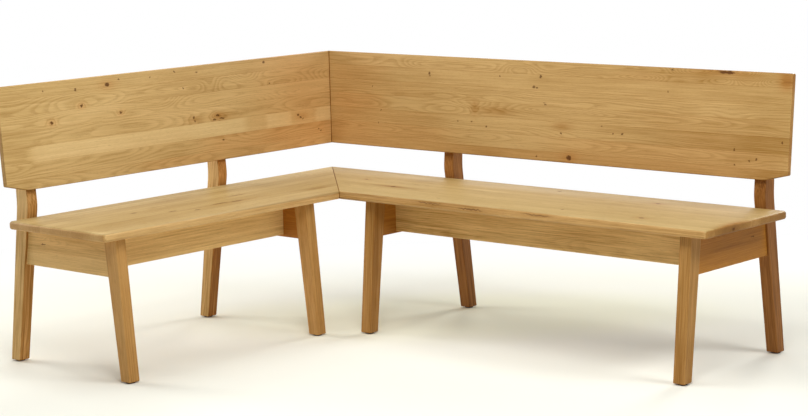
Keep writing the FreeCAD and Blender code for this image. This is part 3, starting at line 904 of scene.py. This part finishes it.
def front_leg_corners():
    s = sizes()
    face = SEAT_DEPTH - s.front_leg_inset
    foot = face + s.front_leg_splay
    return [
        (foot, FOOT_HEIGHT, 0), (face, SEAT_UNDERSIDE, 0), (face - s.front_leg_top, SEAT_UNDERSIDE, 0),
        (foot - s.front_foot, FOOT_HEIGHT, 0),
    ]


def rear_leg_corners():
    s = sizes()
    knee_depth, knee_height = knee()
    top = s.panel_height - s.post_drop
    return [
        (s.rear_foot - REAR_REACH, FOOT_HEIGHT, 0), (knee_depth, knee_height, s.knee_radius),
        (*slope_point(top, 0), 0), (*slope_point(top, -s.post_top), 0),
        (knee_depth - s.knee_depth, knee_height, s.rear_bend_radius), (-REAR_REACH, FOOT_HEIGHT, 0),
    ]


def depth_at(side, height):
    """Rear face of a front leg, or front face of a rear leg, at a height below the seat."""
    corners = front_leg_corners() if side == "front" else rear_leg_corners()
    foot, top = (corners[3], corners[2]) if side == "front" else (corners[0], corners[1])
    share = (height - foot[1]) / (top[1] - foot[1])
    return foot[0] + share * (top[0] - foot[0])


def build_cross_apron(wing, place, seed, wood, tones, red):
    s = sizes()
    name = f"{wing}_cross_apron_{place}"
    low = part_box(name)[0].z
    start = leg_start(wing, place) + (s.leg_width - s.apron_thickness) / 2
    corners = (("rear", SEAT_UNDERSIDE), ("front", SEAT_UNDERSIDE), ("front", low), ("rear", low))
    outline = [(depth_at(side, height), height) for side, height in corners]
    ends = (start, start + s.apron_thickness)
    rims = [(0, 0), (0, 0), (1, 1), (0, 0)]
    piece = make_bar(f"{name}_piece", wing, ends, outline, s.apron_edge_radius, rims, [0] * 4)
    material = oak_material(
        f"oak_{name}", wood, spot(wing, start, 0, low), heading(wing, 0, 1, 0), (0, 0, 1), seed,
        staves=CROSS_STAVES, tones=tones, red=red, marks=CROSS_MARKS, streak=1.15, rings=0.09)
    hand_in(piece, name, material)


def build_long_apron(wing, side, seed, tone):
    s = sizes()
    name = f"{wing}_{side}_apron"
    low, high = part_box(name)
    if wing == "long":
        start, end = low.x - CORNER.x, high.x - CORNER.x
        rear = CORNER.y - high.y
    else:
        start, end = CORNER.y - high.y, CORNER.y - low.y
        rear = low.x - CORNER.x
    face = rear + s.apron_thickness
    outline = [(rear, low.z), (face, low.z), (face, high.z), (rear, high.z)]
    rims = [(0, 0)] * 4
    piece = make_bar(f"{name}_piece", wing, (start, end), outline, s.apron_edge_radius, rims, [1, 1, 0, 0])
    material = oak_material(
        f"oak_{name}", finish().apron_oak, spot(wing, start, rear, low.z), heading(wing, 1, 0, 0), (0, 0, 1),
        seed, tone=tone, streak=1.9)
    hand_in(piece, name, material)


def plain_material(name, colour, roughness, metallic, grain_rate, bump_strength):
    """A plain finish with fine variation in its colour, roughness and surface."""
    darkest = 0.72
    roughness_range = 0.25
    material, w, shader = new_material(name)
    here = w.node("ShaderNodeTexCoord").outputs["Object"]
    fine = w.noise(here, (grain_rate, grain_rate, grain_rate), detail=4.0, roughness=0.6)[0]
    dark = opaque([value * darkest for value in colour])
    w.feed(shader, {
        "Base Color": w.ramp(fine, [(0.3, dark), (0.7, opaque(colour))]),
        "Roughness": w.scaled(fine, roughness_range, roughness - 0.12),
        "Normal": w.bump(fine, bump_strength, distance=0.2 * MM),
    })
    shader.inputs["Metallic"].default_value = metallic
    return material


def dress_node(node, material):
    """Gives a node of the frame its finish and keeps its shape."""
    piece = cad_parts[node]
    piece.data.materials.clear()
    piece.data.materials.append(material)


class BENCH_OT_seat_boards(bpy.types.Operator):
    """Make the two seat boards"""

    bl_idname = "bench.seat_boards"
    bl_label = "Seat boards"

    def execute(self, context):
        for wing in WINGS:
            build_seat_board(wing)
        return {"FINISHED"}


class BENCH_OT_back_panels(bpy.types.Operator):
    """Make the two leaning back panels"""

    bl_idname = "bench.back_panels"
    bl_label = "Back panels"

    def execute(self, context):
        for wing in WINGS:
            build_back_panel(wing)
        return {"FINISHED"}


# Each leg's oak, its shades and how red it is. The shades are for the foot and the top of a front leg,
# and for what lies below and above the seat of a rear leg. Each is given for the face that looks forward
# and for the one that looks along the wing, and so is the redness. The shades are partly the oak's own tone
# and partly painted light and shade: a darker foot on the front legs, rear legs darker below the seat and
# paler on the posts above it, and each face lighter or darker as the light falls on it.
LEG_WOODS = {
    ("long", "front", "outer"): ("leg_oak", (-0.42, -0.32), (-0.18, -0.10), (0.0, 0.0)),
    ("long", "front", "corner"): ("leg_oak", (-0.36, -0.40), (-0.20, -0.38), (0.0, 0.2)),
    ("short", "front", "outer"): ("leg_oak", (-0.22, 0.02), (0.12, 0.36), (0.0, 0.0)),
    ("short", "front", "corner"): ("leg_oak", (-0.22, 0.0), (0.03, 0.0), (0.0, 0.0)),
    ("long", "rear", "outer"): ("dark_oak_and_shade", (-0.20, -0.23), (-0.07, -0.15), (0.0, 0.1)),
    ("long", "rear", "corner"): ("dark_oak_and_shade", (-0.19, -0.30), (0.18, 0.05), (0.0, 0.1)),
    ("short", "rear", "outer"): ("rear_leg_oak", (-0.36, 0.02), (-0.05, 0.52), (0.5, 0.0)),
    ("short", "rear", "corner"): ("rear_leg_oak", (-0.70, -0.27), (-0.01, 0.05), (1.0, 0.0)),
}
# The height at which a leg's shade changes, over how much on either side, and how strong its grain
# shows.
LEG_LEVELS = {"front": (280, 220), "rear": (465, 50)}
LEG_STREAKS = {"front": 1.7, "rear": 2.6}
FIRST_LEG_SEED = 40


class BENCH_OT_legs(bpy.types.Operator):
    """Make the front legs and the bent rear legs"""

    bl_idname = "bench.legs"
    bl_label = "Legs"

    def execute(self, context):
        seed = FIRST_LEG_SEED
        for wing in WINGS:
            for place in PLACES:
                for side, corners in (("front", front_leg_corners()), ("rear", rear_leg_corners())):
                    oak, lower, upper, red = LEG_WOODS[wing, side, place]
                    levels = (*LEG_LEVELS[side], lower, upper)
                    wood = getattr(finish(), oak)
                    build_leg(wing, place, side, corners, seed, wood, levels, red, LEG_STREAKS[side])
                    seed += 1
        return {"FINISHED"}


# A cross apron is glued up of two staves: its glue line above its lower edge and the width of the upper
# stave, then each apron's oak, the shades of both staves and how red it is. The marks curl its grain.
CROSS_STAVES = (50.0, 72.0)
# The brown oak is partly painted shade on the cross aprons that stand in shade.
CROSS_WOODS = {
    ("long", "outer"): ("brown_oak_and_shade", (0.05, -0.12), 0.1),
    ("long", "corner"): ("brown_oak_and_shade", (-0.20, -0.12), 0.1),
    ("short", "outer"): ("apron_oak", (0.09, 0.05), 0.0),
    ("short", "corner"): ("brown_oak_and_shade", (0.05, 0.05), 0.4),
}
CROSS_MARKS = {"swirl": ((250, 86, 70, 16), (120, 96, 60, 14)), "speck": ((60, 70, 12, 2),)}
LONG_APRON_SHADES = {"long": -0.04, "short": 0.16}
FIRST_APRON_SEED = 70


class BENCH_OT_aprons(bpy.types.Operator):
    """Make the cross aprons and the long aprons"""

    bl_idname = "bench.aprons"
    bl_label = "Aprons"

    def execute(self, context):
        seed = FIRST_APRON_SEED
        for wing in WINGS:
            for place in PLACES:
                oak, tones, red = CROSS_WOODS[wing, place]
                build_cross_apron(wing, place, seed, getattr(finish(), oak), tones, red)
                seed += 1
            for side in ("front", "rear"):
                build_long_apron(wing, side, seed, LONG_APRON_SHADES[wing])
                seed += 1
        return {"FINISHED"}


STEEL_NODES = ("seat_corner_plates", "seat_angles", "back_corner_angle", "short_screws", "post_screws")
BEECH_NODES = ("leg_dowels", "rail_dowels", "seat_mitre_dowels")


class BENCH_OT_fittings(bpy.types.Operator):
    """Finish the dowels, the steel fittings, the screws and the glides"""

    bl_idname = "bench.fittings"
    bl_label = "Fittings"

    def execute(self, context):
        f = finish()
        steel = plain_material(
            "zinc_plate", f.steel, roughness=0.38, metallic=1.0, grain_rate=900.0, bump_strength=0.15)
        beech = plain_material(
            "raw_beech", f.beech, roughness=0.62, metallic=0.0, grain_rate=700.0, bump_strength=0.2)
        plastic = plain_material(
            "glide_plastic", f.glide, roughness=0.55, metallic=0.0, grain_rate=1200.0, bump_strength=0.2)
        for material, nodes in ((steel, STEEL_NODES), (beech, BEECH_NODES), (plastic, ("foot_glides",))):
            for node in nodes:
                dress_node(node, material)
        return {"FINISHED"}


# The oval of painted shadow under the bench, where the floor's colour turns darker and yellower: its rate
# and shift away from the viewer and to the right, and where it fades out.
OVAL_AWAY = (2.0, -1.3)
OVAL_ASIDE = (0.9, -0.2)
OVAL_FADE = (0.4, 1.05)
WHITE = (1.0, 1.0, 1.0, 1.0)


def make_floor():
    st = studio()
    half = st.floor_size / 2
    mesh = bpy.data.meshes.new("floor")
    corners = [(-half, -half, 0), (half, -half, 0), (half, half, 0), (-half, half, 0)]
    mesh.from_pydata(corners, [], [(0, 1, 2, 3)])
    floor = new_object("floor", mesh)
    material, w, shader = new_material("floor")
    shader.inputs["Roughness"].default_value = 0.9
    shader.inputs["Specular IOR Level"].default_value = 0.1
    here = w.node("ShaderNodeTexCoord").outputs["Object"]
    away = w.dot(here, (-math.sin(st.camera_yaw), math.cos(st.camera_yaw), 0.0))
    aside = w.dot(here, (math.cos(st.camera_yaw), math.sin(st.camera_yaw), 0.0))
    # Painted shadow: inside this oval the floor takes the darker, yellower colour.
    oval = w.combine(w.scaled(away, *OVAL_AWAY), w.scaled(aside, *OVAL_ASIDE), 0.0)
    under = w.step(w.vector("LENGTH", oval), *OVAL_FADE, 1.0, 0.0)
    w.feed(shader, {"Base Color": w.mix(under, opaque(st.floor_colour), opaque(st.floor_painted_shadow))})
    behind = w.step(away, st.white_from, st.white_to)
    all_round = w.step(w.vector("LENGTH", here), st.round_from, st.round_to)
    white = w.times(w.math("MAXIMUM", behind, all_round), seen_directly(w))
    backdrop = w.feed(w.node("ShaderNodeEmission"), {"Color": WHITE, "Strength": 1.0})
    blend = w.feed(w.node("ShaderNodeMixShader"), {0: white, 1: shader.outputs[0], 2: backdrop.outputs[0]})
    w.feed(material.node_tree.nodes["Material Output"], {"Surface": blend.outputs[0]})
    mesh.materials.append(material)


def seen_directly(w):
    """One where the camera, gloss or glass sees a surface, and zero where light is only passed on."""
    path = w.node("ShaderNodeLightPath").outputs
    seen = w.math("MAXIMUM", path["Is Camera Ray"], path["Is Transmission Ray"])
    return w.math("MAXIMUM", seen, path["Is Glossy Ray"])


def make_world():
    """Even white light all round, which the camera and gloss see as plain white."""
    world = bpy.data.worlds.new("studio")
    bpy.context.scene.world = world
    world.use_nodes = True
    w = Weaver(world.node_tree)
    fill = studio().fill_strength
    strength = w.scaled(seen_directly(w), 1.0 - fill, fill)
    w.feed(world.node_tree.nodes["Background"], {"Color": WHITE, "Strength": strength})


# Softboxes: where each one is and its share of the lamp strength. Those without a height hang under the
# ceiling and point down, and the others stand beside the bench and face it.
CEILING_LAMPS = (
    (1.7, -1.9, 0.69), (3.0, 0.7, 0.57), (-0.9, -0.6, 0.21), (0.4, -0.6, 0.18), (-2.2, 0.7, 0.22),
    (-2.2, 3.3, 0.48),
)
SIDE_LAMPS = ((0.0, 4.2, 1.6, 0.87), (-4.0, -1.2, 1.3, 0.78))
SIDE_AIM = Vector((0, 0, 0.6))


def softbox(name, place, ahead, side, share):
    lamp = bpy.data.lights.new(name, "AREA")
    lamp.shape = "SQUARE"
    lamp.size = side
    lamp.energy = studio().lamp_strength * share
    holder = new_object(name, lamp)
    holder.location = place
    holder.rotation_euler = (-ahead).to_track_quat("Z", "Y").to_euler()


def make_lights():
    st = studio()
    for index, (x, y, share) in enumerate(CEILING_LAMPS):
        softbox(f"ceiling_{index}", (x, y, st.ceiling_height), Vector((0, 0, -1)), st.ceiling_size, share)
    for index, (x, y, z, share) in enumerate(SIDE_LAMPS):
        softbox(f"side_{index}", (x, y, z), SIDE_AIM - Vector((x, y, z)), st.side_size, share)


def make_camera():
    st = studio()
    lens = bpy.data.cameras.new("camera")
    lens.sensor_fit = "HORIZONTAL"
    lens.lens = st.focal_pixels * lens.sensor_width / st.frame_pixels
    camera = new_object("camera", lens)
    yaw, pitch, roll = st.camera_yaw, st.camera_pitch, st.camera_roll
    ahead = Vector((-math.sin(yaw) * math.cos(pitch), math.cos(yaw) * math.cos(pitch), -math.sin(pitch)))
    right = Vector((math.cos(yaw), math.sin(yaw), 0))
    up = right.cross(ahead)
    turned_right = right * math.cos(roll) + up * math.sin(roll)
    turned_up = up * math.cos(roll) - right * math.sin(roll)
    turn = Matrix((turned_right, turned_up, -ahead)).transposed().to_4x4()
    camera.matrix_world = Matrix.Translation(Vector(st.camera_place)) @ turn
    bpy.context.scene.camera = camera


class BENCH_OT_stage(bpy.types.Operator):
    """Make the floor, the lights and the camera"""

    bl_idname = "bench.stage"
    bl_label = "Studio"

    def execute(self, context):
        make_floor()
        make_world()
        make_lights()
        make_camera()
        context.scene.view_settings.view_transform = "Standard"
        return {"FINISHED"}


STEPS = ("stage", "seat_boards", "back_panels", "legs", "aprons", "fittings")


class BENCH_PT_panel(bpy.types.Panel):
    """Lists the steps that dress the bench"""

    bl_idname = "BENCH_PT_panel"
    bl_label = "Corner bench"
    bl_space_type = "VIEW_3D"
    bl_region_type = "UI"
    bl_category = "Bench"

    def draw(self, context):
        for step in STEPS:
            self.layout.operator("bench." + step)
        for group in ("bench_sizes", "bench_finish", "bench_studio"):
            settings = getattr(context.scene, group)
            box = self.layout.box()
            for name in settings.bl_rna.properties.keys():
                if name not in ("rna_type", "name"):
                    box.prop(settings, name)


CLASSES = (
    BenchSizes, BenchFinish, BenchStudio, BENCH_OT_stage, BENCH_OT_seat_boards, BENCH_OT_back_panels,
    BENCH_OT_legs, BENCH_OT_aprons, BENCH_OT_fittings, BENCH_PT_panel,
)
GROUPS = {"bench_sizes": BenchSizes, "bench_finish": BenchFinish, "bench_studio": BenchStudio}


def register():
    for item in CLASSES:
        bpy.utils.register_class(item)
    for name, group in GROUPS.items():
        setattr(bpy.types.Scene, name, PointerProperty(type=group))


def unregister():
    for name in GROUPS:
        delattr(bpy.types.Scene, name)
    for item in reversed(CLASSES):
        bpy.utils.unregister_class(item)


def main():
    register()
    for step in STEPS:
        getattr(bpy.ops.bench, step)()


if __name__ == "__main__":
    main()
